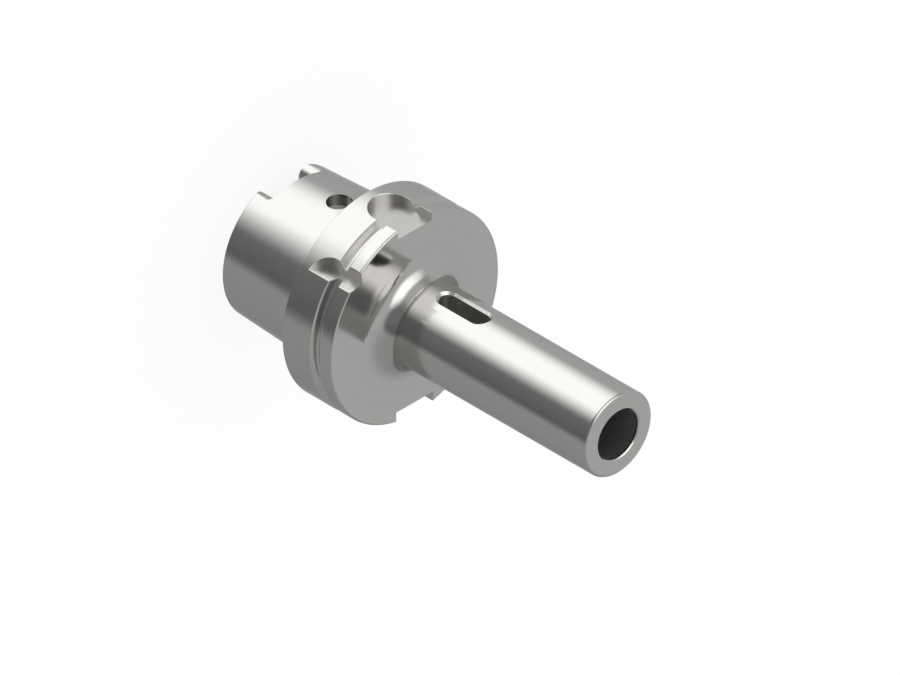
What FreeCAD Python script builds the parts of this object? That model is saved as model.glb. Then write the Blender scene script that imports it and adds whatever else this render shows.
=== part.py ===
import FreeCAD, Part
import math
import os

# A tool holder turned from one bar of steel. It carries drills with a Morse taper 3
# shank and tang, and it sits in a milling spindle by a hollow 1:10 taper, size 100.
# Millimetres. The axis is Z. z = 0 is the ring face of the flange that seats on the
# spindle, the hollow taper points down and the tube with its socket points up.

# Hollow taper shank
TAPER_PER_MM = 1 / 19.96
GAUGE_RADIUS = 75.013 / 2
GAUGE_DEPTH = 10
SHANK_LENGTH = 50
SHANK_BORE_RADIUS = 53 / 2
CLAMP_BORE_RADIUS = 63 / 2
CLAMP_SHOULDER_DEPTH = 24.2
CLAMP_SHOULDER_ANGLE = 30
POCKET_DEPTH = 10
RELIEF_WIDTH = 1.6
RELIEF_DEPTH = 0.4

# Coolant tube thread, M24 x 1.5, drilled to its core diameter
COOLANT_CORE_RADIUS = 22.4 / 2
COOLANT_THREAD_RADIUS = 24 / 2
COOLANT_HOLE_TOP = 12
DRILL_POINT_ANGLE = 118

# Access hole to the clamping set, across the shank
ACCESS_HOLE_RADIUS = 11.5 / 2
ACCESS_HOLE_DEPTH = 15.75

# Keyways in the small end of the shank
KEYWAY_HALF_WIDTH = 20.02 / 2
KEYWAY_FLARE_RADIUS = 5.1
KEYWAY_FLARE_START = 27.05
KEYWAY_MOUTH_HALF_WIDTH = 16.2
KEYWAY_CORNER_RADIUS = 4.7
NEAR_KEYWAY_DEPTH = 9.6
FAR_KEYWAY_DEPTH = 15

# Flange with its gripper groove, a 60 degree V whose narrow root has a bevel at each side
FLANGE_RADIUS = 100 / 2
FLANGE_WIDTH = 29
FLANGE_FRONT_ROUNDING = 1
GROOVE_CENTRE = 19.45
GROOVE_ANGLE = 60
GROOVE_APEX_RADIUS = 44.8
GROOVE_BEVEL_RADIUS = 47.4
GROOVE_ROOT_RADIUS = 46.85
GROOVE_ROOT_WIDTH = 1.1

# Slots milled into the flange from its front face. The index notch is turned about the axis
SLOT_END = 15
NARROW_SLOT_WIDTH = 20
NARROW_SLOT_FLOOR = 45
WIDE_SLOT_WIDTH = 22
WIDE_SLOT_FLOOR = 43.6
SLOT_CHAMFER = 0.2
INDEX_CUTTER_WIDTH = 22
INDEX_NOTCH_TURN = 7
INDEX_NOTCH_FLOOR = 36.1
INDEX_NOTCH_WALL = 26.8

# Tube
TUBE_RADIUS = 40 / 2
TUBE_END = 150
TUBE_END_ROUNDING = 1.5
NECK_FILLET = 10

# Morse taper 3 socket with its tang slot, depths from the mouth
SOCKET_RADIUS = 23.825 / 2
SOCKET_TAPER_PER_MM = 1 / (2 * 19.922)
SOCKET_RELIEF_RADIUS = 20.2 / 2
SOCKET_DEPTH = 84
TANG_SLOT_WIDTH = 8.3
TANG_SLOT_NEAR_END = 78
TANG_SLOT_LENGTH = 27
TANG_SLOT_CHAMFER = 1.2

# Turned edges that are broken, and the steel itself
EDGE_BREAK = 0.5
STEEL_KG_PER_MM3 = 7.85e-6

# Modelling allowances: reach of a cutter past the metal, the match of edges and points,
# places along an edge where it is measured, and the side that keeps the revolved seam
OVERSHOOT = 5
TOLERANCE = 0.01
SAME_POINT = 1e-6
EDGE_SHARES = (0, 0.3, 0.7, 1)
SEAM_ANGLE = -70
ORIGIN = FreeCAD.Vector(0, 0, 0)
AXIS = FreeCAD.Vector(0, 0, 1)


def shank_radius(z):
    """Outside radius of the taper at height z, which is negative on the shank."""
    return GAUGE_RADIUS + (z + GAUGE_DEPTH) * TAPER_PER_MM


def drill_tip(radius):
    """Height of the cone that a twist drill leaves at the bottom of a blind hole."""
    return radius / math.tan(math.radians(DRILL_POINT_ANGLE / 2))


def coolant_hole_outline():
    """Blind hole for the coolant tube, from its tip on the axis to the pocket floor."""
    lead = COOLANT_THREAD_RADIUS - COOLANT_CORE_RADIUS + EDGE_BREAK
    return [
        (0, COOLANT_HOLE_TOP + drill_tip(COOLANT_CORE_RADIUS), 0),
        (COOLANT_CORE_RADIUS, COOLANT_HOLE_TOP, 0),
        (COOLANT_CORE_RADIUS, lead - POCKET_DEPTH, 0),
        (COOLANT_CORE_RADIUS + lead, -POCKET_DEPTH, 0),
    ]


def shank_bore_outline():
    """Hollow of the shank: pocket, the shoulder that the clamps pull on, and mouth."""
    step = CLAMP_BORE_RADIUS - SHANK_BORE_RADIUS
    shoulder_height = step / math.tan(math.radians(CLAMP_SHOULDER_ANGLE))
    return [
        (CLAMP_BORE_RADIUS, -POCKET_DEPTH, 0),
        (CLAMP_BORE_RADIUS, -CLAMP_SHOULDER_DEPTH, 0),
        (SHANK_BORE_RADIUS, -CLAMP_SHOULDER_DEPTH - shoulder_height, 0),
        (SHANK_BORE_RADIUS, EDGE_BREAK - SHANK_LENGTH, 0),
        (SHANK_BORE_RADIUS + EDGE_BREAK, -SHANK_LENGTH, 0),
    ]


def shank_outline():
    """Ground taper, with a relief groove that undercuts it and the flange face."""
    groove_radius = shank_radius(-RELIEF_WIDTH) - RELIEF_DEPTH
    small_end = shank_radius(EDGE_BREAK - SHANK_LENGTH)
    return [
        (small_end - EDGE_BREAK, -SHANK_LENGTH, 0),
        (small_end, EDGE_BREAK - SHANK_LENGTH, 0),
        (shank_radius(-RELIEF_WIDTH), -RELIEF_WIDTH, 0),
        (groove_radius, -RELIEF_WIDTH, 0),
        (groove_radius, RELIEF_DEPTH, 0),
        (groove_radius + RELIEF_WIDTH, 0, 0),
    ]


def groove_half_width(radius):
    """Half the width of the V groove where it is cut by this radius."""
    return (radius - GROOVE_APEX_RADIUS) * math.tan(math.radians(GROOVE_ANGLE / 2))


def flange_outline():
    """Gripper flange: a wide and a narrow collar either side of the V groove."""
    rim = groove_half_width(FLANGE_RADIUS)
    bevel = groove_half_width(GROOVE_BEVEL_RADIUS)
    return [
        (FLANGE_RADIUS - EDGE_BREAK, 0, 0),
        (FLANGE_RADIUS, EDGE_BREAK, 0),
        (FLANGE_RADIUS, GROOVE_CENTRE - rim, 0),
        (GROOVE_BEVEL_RADIUS, GROOVE_CENTRE - bevel, 0),
        (GROOVE_ROOT_RADIUS, GROOVE_CENTRE - GROOVE_ROOT_WIDTH / 2, 0),
        (GROOVE_ROOT_RADIUS, GROOVE_CENTRE + GROOVE_ROOT_WIDTH / 2, 0),
        (GROOVE_BEVEL_RADIUS, GROOVE_CENTRE + bevel, 0),
        (FLANGE_RADIUS, GROOVE_CENTRE + rim, 0),
        (FLANGE_RADIUS, FLANGE_WIDTH, 0),
    ]


def tube_outline():
    """Round tube that grows out of the flange in one hollow fillet."""
    return [
        (TUBE_RADIUS, FLANGE_WIDTH, NECK_FILLET),
        (TUBE_RADIUS, TUBE_END, TUBE_END_ROUNDING),
    ]


def socket_outline():
    """Tapered socket, a parallel relief past the taper and the point of the drill."""
    relief_depth = (SOCKET_RADIUS - SOCKET_RELIEF_RADIUS) / SOCKET_TAPER_PER_MM
    bottom = TUBE_END - SOCKET_DEPTH
    return [
        (SOCKET_RADIUS + EDGE_BREAK, TUBE_END, 0),
        (SOCKET_RADIUS - EDGE_BREAK * SOCKET_TAPER_PER_MM, TUBE_END - EDGE_BREAK, 0),
        (SOCKET_RELIEF_RADIUS, TUBE_END - relief_depth, 0),
        (SOCKET_RELIEF_RADIUS, bottom, 0),
        (0, bottom - drill_tip(SOCKET_RELIEF_RADIUS), 0),
    ]


def rounded_wire(corners, to_point):
    """Closed wire through corners (a, b, radius), each blended by a tangent arc."""
    points = [to_point(a, b) for a, b, _ in corners]
    ends = []
    edges = []
    for i, (_, _, radius) in enumerate(corners):
        point = points[i]
        if radius == 0:
            ends.append((point, point))
            continue
        back = (points[i - 1] - point).normalize()
        ahead = (points[(i + 1) % len(points)] - point).normalize()
        half_angle = back.getAngle(ahead) / 2
        reach = radius / math.tan(half_angle)
        to_arc = radius / math.sin(half_angle) - radius
        middle = point + (back + ahead).normalize() * to_arc
        ends.append((point + back * reach, point + ahead * reach))
        edges.append(Part.Arc(ends[i][0], middle, ends[i][1]).toShape())
    for i in range(len(points)):
        if ends[i - 1][1].distanceToPoint(ends[i][0]) > SAME_POINT:
            edges.append(Part.makeLine(ends[i - 1][1], ends[i][0]))
    return Part.Wire(Part.__sortEdges__(edges))


def turned_blank():
    """Everything that the lathe and the grinder make, revolved in one section."""
    section = coolant_hole_outline() + shank_bore_outline() + shank_outline()
    section += flange_outline() + tube_outline() + socket_outline()
    wire = rounded_wire(section, lambda r, z: FreeCAD.Vector(r, 0, z))
    face = Part.Face(wire)
    face.rotate(ORIGIN, AXIS, SEAM_ANGLE)
    return face.revolve(ORIGIN, AXIS, 360)


def slot_solid(width, bottom, top, floor, centre_y):
    """Round-ended slot that an end mill sinks towards the axis, down to x = floor."""
    half = width / 2
    corners = [
        (centre_y - half, bottom, half),
        (centre_y + half, bottom, half),
        (centre_y + half, top, half),
        (centre_y - half, top, half),
    ]
    wire = rounded_wire(corners, lambda y, z: FreeCAD.Vector(floor, y, z))
    return Part.Face(wire).extrude(FreeCAD.Vector(FLANGE_RADIUS + OVERSHOOT - floor, 0, 0))


def flange_slot(width, floor, centre_y, turn):
    """Slot that runs out through the front face of the flange and ends in an arc."""
    half = width / 2
    top = FLANGE_WIDTH + half + OVERSHOOT
    cutter = slot_solid(width, SLOT_END - half, top, floor, centre_y)
    cutter.rotate(ORIGIN, AXIS, turn)
    return cutter


def tang_slot():
    """Slot through the tube: it holds the shank's tang and lets a drift knock it out."""
    top = TUBE_END - TANG_SLOT_NEAR_END
    return slot_solid(TANG_SLOT_WIDTH, top - TANG_SLOT_LENGTH, top, -FLANGE_RADIUS, 0)


def lies_at_radius(edge, radius):
    """Whether an edge runs along the cylinder of this radius about the axis."""
    first, last = edge.FirstParameter, edge.LastParameter
    spots = [edge.valueAt(first + share * (last - first)) for share in EDGE_SHARES]
    return all(abs(math.hypot(spot.x, spot.y) - radius) < TOLERANCE for spot in spots)


def cut_and_chamfer(body, cutter, radius, chamfer):
    """Cut a slot, then chamfer the rim that it leaves on the cylinder of this radius."""
    body = body.cut(cutter)
    rim = []
    for edge in body.Edges:
        middle = edge.valueAt((edge.FirstParameter + edge.LastParameter) / 2)
        if lies_at_radius(edge, radius) and cutter.isInside(middle, TOLERANCE, True):
            rim.append(edge)
    return body.makeChamfer(chamfer, rim)


def round_front_rim(body):
    """Round the rim of the flange's front face, which the slots have cut into arcs."""
    arcs = []
    for edge in body.Edges:
        box = edge.BoundBox
        level = max(abs(box.ZMin - FLANGE_WIDTH), abs(box.ZMax - FLANGE_WIDTH)) < TOLERANCE
        if level and lies_at_radius(edge, FLANGE_RADIUS):
            arcs.append(edge)
    return body.makeFillet(FLANGE_FRONT_ROUNDING, arcs)


def keyway_end_view(start, outside):
    """End view of a keyway: straight flanks that open in a convex quarter circle."""
    arc_y = KEYWAY_HALF_WIDTH + KEYWAY_FLARE_RADIUS
    shelf_x = KEYWAY_FLARE_START + KEYWAY_FLARE_RADIUS
    diagonal = KEYWAY_FLARE_RADIUS * math.sqrt(0.5)
    edges = [Part.makeLine((start, -KEYWAY_HALF_WIDTH, 0), (start, KEYWAY_HALF_WIDTH, 0))]
    for side in (-1, 1):
        root = FreeCAD.Vector(start, side * KEYWAY_HALF_WIDTH, 0)
        foot = FreeCAD.Vector(KEYWAY_FLARE_START, side * KEYWAY_HALF_WIDTH, 0)
        bend = FreeCAD.Vector(KEYWAY_FLARE_START + diagonal, side * (arc_y - diagonal), 0)
        shelf = FreeCAD.Vector(shelf_x, side * arc_y, 0)
        rim = FreeCAD.Vector(shelf_x, side * outside, 0)
        corner = FreeCAD.Vector(outside, side * outside, 0)
        edges.append(Part.makeLine(root, foot))
        edges.append(Part.Arc(foot, bend, shelf).toShape())
        edges.append(Part.makeLine(shelf, rim))
        edges.append(Part.makeLine(rim, corner))
    edges.append(Part.makeLine((outside, -outside, 0), (outside, outside, 0)))
    return Part.Face(Part.Wire(Part.__sortEdges__(edges)))


def shank_keyway(depth, turn):
    """Keyway for a drive key: the flared end view, kept inside a round-cornered pocket."""
    start = SHANK_BORE_RADIUS / 2
    outside = shank_radius(0) + OVERSHOOT
    below = -SHANK_LENGTH - OVERSHOOT
    flared = keyway_end_view(start, outside).extrude(FreeCAD.Vector(0, 0, SHANK_LENGTH))
    flared.translate(FreeCAD.Vector(0, 0, below))
    top = depth - SHANK_LENGTH
    side_view = [
        (-KEYWAY_MOUTH_HALF_WIDTH, below, 0),
        (-KEYWAY_MOUTH_HALF_WIDTH, top, KEYWAY_CORNER_RADIUS),
        (KEYWAY_MOUTH_HALF_WIDTH, top, KEYWAY_CORNER_RADIUS),
        (KEYWAY_MOUTH_HALF_WIDTH, below, 0),
    ]
    wire = rounded_wire(side_view, lambda y, z: FreeCAD.Vector(start, y, z))
    pocket = Part.Face(wire).extrude(FreeCAD.Vector(outside - start, 0, 0))
    cutter = flared.common(pocket)
    cutter.rotate(ORIGIN, AXIS, turn)
    return cutter


def access_hole():
    """Cross hole through both walls of the shank, for the key that frees the clamps."""
    start = FreeCAD.Vector(-FLANGE_RADIUS, 0, -ACCESS_HOLE_DEPTH)
    along = FreeCAD.Vector(1, 0, 0)
    return Part.makeCylinder(ACCESS_HOLE_RADIUS, 2 * FLANGE_RADIUS, start, along)


def adapter_body():
    """The holder: the turned blank, then every milled and drilled cut."""
    body = cut_and_chamfer(turned_blank(), tang_slot(), TUBE_RADIUS, TANG_SLOT_CHAMFER)
    notch_y = INDEX_NOTCH_WALL + INDEX_CUTTER_WIDTH / 2
    narrow = flange_slot(NARROW_SLOT_WIDTH, NARROW_SLOT_FLOOR, 0, 0)
    wide = flange_slot(WIDE_SLOT_WIDTH, WIDE_SLOT_FLOOR, 0, 180)
    notch = flange_slot(INDEX_CUTTER_WIDTH, INDEX_NOTCH_FLOOR, notch_y, INDEX_NOTCH_TURN)
    body = cut_and_chamfer(body, narrow, FLANGE_RADIUS, SLOT_CHAMFER)
    body = cut_and_chamfer(body, wide, FLANGE_RADIUS, SLOT_CHAMFER)
    body = body.cut(notch)
    body = round_front_rim(body)
    body = body.cut(shank_keyway(NEAR_KEYWAY_DEPTH, 0))
    body = body.cut(shank_keyway(FAR_KEYWAY_DEPTH, 180))
    body = body.cut(access_hole())
    return body.removeSplitter()


os.makedirs("parts", exist_ok=True)
holder = adapter_body()
solid = holder.Solids[0]
print("solids", len(holder.Solids), "valid", holder.isValid(), "mm3", round(solid.Volume))
print("kg", round(solid.Volume * STEEL_KG_PER_MM3, 3), "centre", solid.CenterOfMass)
solid.exportStep("parts/adapter_body.step")
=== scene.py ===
import math
import bpy
from mathutils import Matrix, Vector


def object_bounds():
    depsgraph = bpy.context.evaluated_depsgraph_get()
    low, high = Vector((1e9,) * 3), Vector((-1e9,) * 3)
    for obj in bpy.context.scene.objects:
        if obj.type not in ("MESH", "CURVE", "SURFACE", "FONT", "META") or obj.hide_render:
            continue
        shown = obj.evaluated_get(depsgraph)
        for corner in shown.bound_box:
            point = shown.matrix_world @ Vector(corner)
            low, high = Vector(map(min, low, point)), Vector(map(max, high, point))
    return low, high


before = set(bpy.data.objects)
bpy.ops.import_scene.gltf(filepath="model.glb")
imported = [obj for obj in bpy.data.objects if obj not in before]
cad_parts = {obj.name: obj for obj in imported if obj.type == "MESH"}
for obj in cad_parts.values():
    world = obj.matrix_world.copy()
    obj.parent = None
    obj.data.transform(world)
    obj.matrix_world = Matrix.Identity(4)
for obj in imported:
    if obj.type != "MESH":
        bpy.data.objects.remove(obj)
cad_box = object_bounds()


# The camera: a parallel view along the diagonal of the part's axes, so the tube, the flange's
# front face and the open side slots all show. It is rolled until +X, the narrow slot, is up.
VIEW_WIDTH = 0.37783
VIEW_CENTRE = Vector((-0.01660, -0.01665, 0.03325))
CAMERA_DISTANCE = 1.2
CLIP_END = 10
TOWARDS_CAMERA = Vector((1, 1, 1)).normalized()
picture_right = Vector((0, -1, 1)).normalized()
picture_up = TOWARDS_CAMERA.cross(picture_right)
camera_data = bpy.data.cameras.new("camera")
camera_data.type = "ORTHO"
camera_data.ortho_scale = VIEW_WIDTH
camera_data.clip_end = CLIP_END
camera = bpy.data.objects.new("camera", camera_data)
turn = Matrix((picture_right, picture_up, TOWARDS_CAMERA)).transposed()
stand = Matrix.Translation(VIEW_CENTRE + TOWARDS_CAMERA * CAMERA_DISTANCE)
camera.matrix_world = stand @ turn.to_4x4()
bpy.context.scene.collection.objects.link(camera)
bpy.context.scene.camera = camera
bpy.context.scene.view_settings.view_transform = "Standard"


class Signal:
    """A socket of a shader. Sums, products and roots of signals and numbers add their Math nodes."""

    def __init__(self, tree, socket):
        self.tree = tree
        self.socket = socket

    @staticmethod
    def node(tree, kind, settings=None, inputs=None, output=0):
        """Adds a node, fills its sockets with values or signals and returns an output, if it has any."""
        made = tree.nodes.new(kind)
        for name, value in (settings or {}).items():
            setattr(made, name, value)
        for name, value in (inputs or {}).items():
            if isinstance(value, Signal):
                tree.links.new(value.socket, made.inputs[name])
            else:
                made.inputs[name].default_value = value
        return Signal(tree, made.outputs[output]) if made.outputs else made

    def math(self, operation, *values):
        return Signal.node(self.tree, "ShaderNodeMath", {"operation": operation}, dict(enumerate(values)))

    def __add__(self, other):
        return self.math("ADD", self, other)

    def __radd__(self, other):
        return self.math("ADD", other, self)

    def __sub__(self, other):
        return self.math("SUBTRACT", self, other)

    def __rsub__(self, other):
        return self.math("SUBTRACT", other, self)

    def __mul__(self, other):
        return self.math("MULTIPLY", self, other)

    def __rmul__(self, other):
        return self.math("MULTIPLY", other, self)

    def __truediv__(self, other):
        return self.math("DIVIDE", self, other)

    def __abs__(self):
        return self.math("ABSOLUTE", self)

    def root(self):
        """Square root."""
        return self.math("SQRT", self)

    def larger(self, other):
        """The larger of two signals."""
        return self.math("MAXIMUM", self, other)

    def dot(self, vector):
        """Length of this vector along another."""
        inputs = {0: self, 1: tuple(vector)}
        return Signal.node(self.tree, "ShaderNodeVectorMath", {"operation": "DOT_PRODUCT"}, inputs, "Value")

    def fade(self, start, end):
        """0 before start, 1 past end, and an S-curve between them. A start above the end falls."""
        inputs = {"Value": self, "From Min": start, "From Max": end}
        settings = {"interpolation_type": "SMOOTHSTEP"}
        return Signal.node(self.tree, "ShaderNodeMapRange", settings, inputs)


# The studio: a plain grey surround that the steel mirrors, with two white panels, the dark gap
# between them and a narrow panel behind. Each is a rectangle far off that faces the part.
SURROUND_LEVEL = 0.57
LOW_PANEL_LEVEL = 1.05
HIGH_PANEL_LEVEL = 1.15
BACK_PANEL_LEVEL = 0.9
GAP_SHADE = 0.64
LEFT_SHADE = 0.32
FAR_SHADE = 0.32
HIGH_ROLL = math.radians(5)
SIDEWAYS = 0.1
BARELY_AHEAD = 0.001
world = bpy.data.worlds.new("surround")
bpy.context.scene.world = world
world.use_nodes = True
sky = world.node_tree
sky.nodes.clear()
outward = Signal.node(sky, "ShaderNodeTexCoord", output="Generated")


def panel(centre, roll, left, right, bottom, top):
    """Mask of a far rectangle, 1 inside it and 0 outside.

    Each edge is a pair: how far out the mask starts to fall, and where it is gone. Both are slopes,
    so 1 is 45 degrees away from the centre."""
    forward = Vector(centre).normalized()
    level = Vector((0, 0, 1)).cross(forward).normalized()
    across = level * math.cos(roll) + forward.cross(level) * math.sin(roll)
    upward = forward.cross(across)
    ahead = outward.dot(forward)
    depth = ahead.larger(BARELY_AHEAD)
    width = outward.dot(across) / depth
    height = outward.dot(upward) / depth
    mask = width.fade(left[1], left[0]) * width.fade(right[1], right[0])
    mask = mask * height.fade(bottom[1], bottom[0]) * height.fade(top[1], top[0])
    return mask * ahead.fade(0, SIDEWAYS)


low_panel = panel((0.72, -0.01, -0.69), 0, (-0.2, -1.0), (0.22, 1.03), (-0.55, -0.70), (0.48, 0.64))
high_panel = panel((0.63, -0.06, 0.78), HIGH_ROLL, (-0.1, -1.0), (0.25, 1.05), (-0.26, -0.62), (0.16, 0.48))
back_panel = panel((-0.7, -0.7, -0.16), 0, (-0.07, -0.18), (0.07, 0.18), (-0.15, -0.35), (0.15, 0.35))
dark_gap = panel((0.28, 0.95, 0.00), 0, (-0.35, -1.60), (0.38, 0.85), (-1.0, -1.8), (0.62, 2.0))
left_edge = panel((0.76, -0.64, 0.00), 0, (-0.05, -0.40), (0.05, 0.40), (-0.25, -0.55), (0.25, 0.55))
far_side = outward.dot(Vector((-0.85, 0.50, -0.17)).normalized()).fade(0.05, 0.8)
surround = SURROUND_LEVEL * (1 - FAR_SHADE * far_side) * (1 - GAP_SHADE * dark_gap)
surround = surround * (1 - LEFT_SHADE * left_edge)
mirrored = surround + LOW_PANEL_LEVEL * low_panel + HIGH_PANEL_LEVEL * high_panel
mirrored = mirrored + BACK_PANEL_LEVEL * back_panel
glossy = Signal.node(sky, "ShaderNodeLightPath", output="Is Glossy Ray")
strength = glossy * mirrored + (1 - glossy)
background = Signal.node(sky, "ShaderNodeBackground", None, {"Color": (1, 1, 1, 1), "Strength": strength})
Signal.node(sky, "ShaderNodeOutputWorld", None, {"Surface": background})


# The floor: a plain white sheet under the small end of the shank. What the camera sees of it
# is mostly its own white, so the background is white and the part's shadow stays faint.
FLOOR_HALF = 3.0
PAPER_WHITE = (0.97, 0.97, 0.97, 1)
OWN_WHITE_SHARE = 0.88
floor_z = cad_box[0][2]
corners = [(x * FLOOR_HALF, y * FLOOR_HALF, floor_z) for x, y in ((-1, -1), (1, -1), (1, 1), (-1, 1))]
floor_mesh = bpy.data.meshes.new("floor")
floor_mesh.from_pydata(corners, [], [(0, 1, 2, 3)])
floor = bpy.data.objects.new("floor", floor_mesh)
bpy.context.scene.collection.objects.link(floor)
floor.visible_glossy = False
sheet = bpy.data.materials.new("floor_white")
sheet.use_nodes = True
paper = sheet.node_tree
paper.nodes.clear()
matt = Signal.node(paper, "ShaderNodeBsdfDiffuse", None, {"Color": PAPER_WHITE}, "BSDF")
lit = Signal.node(paper, "ShaderNodeEmission", None, {"Color": (1, 1, 1, 1), "Strength": 1.0}, "Emission")
seen = Signal.node(paper, "ShaderNodeLightPath", output="Is Camera Ray")
mixed = Signal.node(paper, "ShaderNodeMixShader", None, {0: seen * OWN_WHITE_SHARE, 1: matt, 2: lit})
Signal.node(paper, "ShaderNodeOutputMaterial", None, {"Surface": mixed})
floor_mesh.materials.append(sheet)


# The holder: one piece of case-hardened steel. Flange, tube and shank are turned, then ground
# bright, and every pass leaves its fine rings about the axis. The flange's slots are milled,
# and the bores, the tang slot and the cross hole keep the duller finish of the boring bar.
STEEL_COLOUR = {"Red": 0.604, "Green": 0.596, "Blue": 0.581}
EDGE_TINT = (0.76, 0.76, 0.76, 1)
RING_PITCH = 0.0003
RING_HEIGHT = 9e-6
WAVE_PITCH = 0.004
WAVE_HEIGHT = 1.5e-6
SMUDGE_SIZE = 0.03
NOISE_DETAIL = 2.0
CUT_COARSENESS = 2
RING_SHADE = 0.08
WAVE_SHADE = 0.03
SMUDGE_SHADE = 0.02
RING_ROUGHNESS = 0.06
SMUDGE_ROUGHNESS = 0.02
INSIDE_DULLING = 0.03
OUTSIDE_ROUGHNESS = 0.12
MILLED_ROUGHNESS = 0.28
INSIDE_ROUGHNESS = 0.32
SOCKET_WALL_RADIUS = 0.0186
SOCKET_MOUTH = 0.1486
HOLLOW_RADIUS = 0.0317
SMALL_END = -0.0495
CROSS_HOLE_CENTRE = -0.01575
CROSS_HOLE_RADIUS = 0.0062
CROSS_HOLE_MOUTH = 0.0362
SLOT_FLOOR = 0.0434
SLOT_HALF_WIDTH = 0.0111
NOTCH_TURN = math.radians(7)
NOTCH_NORMAL = (math.cos(NOTCH_TURN), math.sin(NOTCH_TURN), 0)
NOTCH_ACROSS = (-NOTCH_NORMAL[1], NOTCH_NORMAL[0], 0)
NOTCH_FLOOR = 0.0359
NOTCH_WALL = 0.0266
SLOTS_END = 0.0042
FLANGE_FRONT = 0.0286
FLANGE_SKIN = 0.0496
MASK_EDGE = 0.0003
steel = bpy.data.materials.new("ground_steel")
steel.use_nodes = True
finish = steel.node_tree
shader = finish.nodes["Principled BSDF"]
place = Signal.node(finish, "ShaderNodeTexCoord", output="Object")
x, y, z = (place.dot(axis) for axis in Matrix.Identity(3))
from_axis = (x * x + y * y).root()
from_hole = (y * y + (z - CROSS_HOLE_CENTRE) * (z - CROSS_HOLE_CENTRE)).root()


def under(signal, limit):
    """1 where the signal is below the limit, 0 above it."""
    return signal.fade(limit + MASK_EDGE, limit)


def over(signal, limit):
    """1 where the signal is above the limit, 0 below it."""
    return signal.fade(limit - MASK_EDGE, limit)


def noise(vector, scale):
    """Soft noise from -0.5 to 0.5. Its blobs are about one unit of the scaled vector wide."""
    inputs = {"Vector": vector, "Scale": scale, "Detail": NOISE_DETAIL}
    return Signal.node(finish, "ShaderNodeTexNoise", None, inputs, "Fac") - 0.5


socket = under(from_axis, SOCKET_WALL_RADIUS) * under(z, SOCKET_MOUTH)
hollow = under(from_axis, HOLLOW_RADIUS) * over(z, SMALL_END) * under(z, 0)
cross_hole = under(from_hole, CROSS_HOLE_RADIUS) * under(from_axis, CROSS_HOLE_MOUTH)
inside = socket.larger(hollow).larger(cross_hole)
drive_slots = over(abs(x), SLOT_FLOOR) * under(abs(y), SLOT_HALF_WIDTH)
index_notch = over(place.dot(NOTCH_NORMAL), NOTCH_FLOOR) * over(place.dot(NOTCH_ACROSS), NOTCH_WALL)
in_flange = under(from_axis, FLANGE_SKIN) * over(z, SLOTS_END) * under(z, FLANGE_FRONT)
milled = drive_slots.larger(index_notch) * in_flange
across_rings = Signal.node(finish, "ShaderNodeCombineXYZ", None, {"X": from_axis, "Y": z})
rings = noise(across_rings, 1 / RING_PITCH)
waves = noise(across_rings, 1 / WAVE_PITCH)
smudges = noise(place, 1 / SMUDGE_SIZE)
height = rings * RING_HEIGHT * (1 + CUT_COARSENESS * (inside + milled)) + waves * WAVE_HEIGHT
bump = Signal.node(finish, "ShaderNodeBump", None, {"Distance": 1.0, "Height": height})
roughness = OUTSIDE_ROUGHNESS + (INSIDE_ROUGHNESS - OUTSIDE_ROUGHNESS) * inside
roughness = roughness + (MILLED_ROUGHNESS - OUTSIDE_ROUGHNESS) * milled
roughness = roughness + SMUDGE_ROUGHNESS * smudges + RING_ROUGHNESS * rings
shade = 1 + SMUDGE_SHADE * smudges + WAVE_SHADE * waves + RING_SHADE * rings
channels = {name: share * shade for name, share in STEEL_COLOUR.items()}
colour = Signal.node(finish, "ShaderNodeCombineColor", None, channels)
for name, signal in {
    "Base Color": colour,
    "Roughness": roughness,
    "Metallic": 1 - INSIDE_DULLING * inside,
    "Normal": bump,
}.items():
    finish.links.new(signal.socket, shader.inputs[name])
shader.inputs["Specular Tint"].default_value = EDGE_TINT
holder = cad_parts["adapter_body"]
for slot in holder.material_slots:
    slot.material = steel
